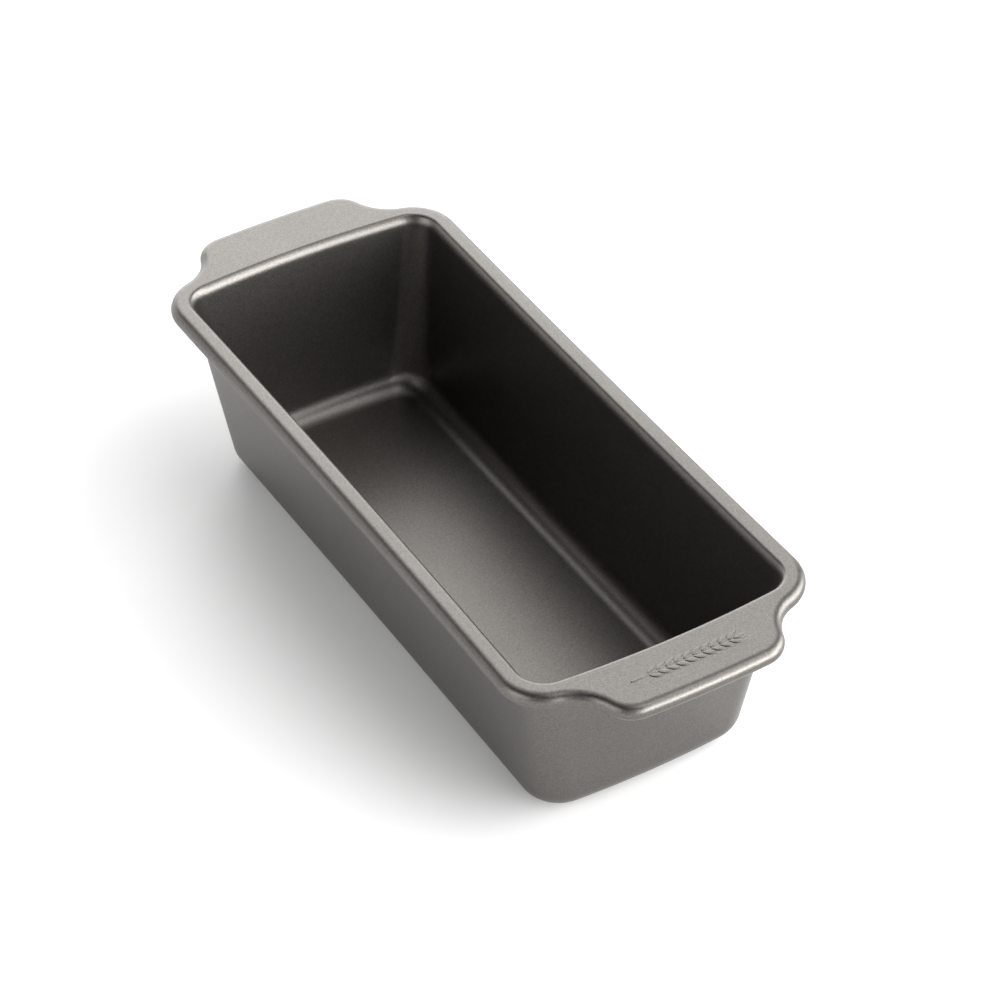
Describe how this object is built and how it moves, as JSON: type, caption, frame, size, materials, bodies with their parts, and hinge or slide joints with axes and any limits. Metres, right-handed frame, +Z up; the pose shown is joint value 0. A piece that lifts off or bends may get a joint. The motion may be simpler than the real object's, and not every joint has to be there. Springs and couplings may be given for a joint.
{
  "type": "loaf pan",
  "caption": "Long, narrow loaf pan with flared walls, a flat flange that widens into a grip tab at each end, and an edge curled around a hidden wire.",
  "frame": {"origin": "middle of the pan's underside, in the plane that it stands on", "axes": "+X along the pan's length to one grip tab, +Y across the pan, +Z up out of the mouth"},
  "size_m": [0.2954, 0.115, 0.0715],
  "materials": {
    "coated_sheet": "satin metallic grey-taupe non-stick coating with a fine sparkle grain",
    "bare_wire": "plain drawn steel wire"
  },
  "bodies": {
    "root": {"pan_shell": "coated_sheet", "rim_wire": "bare_wire"}
  },
  "joints": []
}
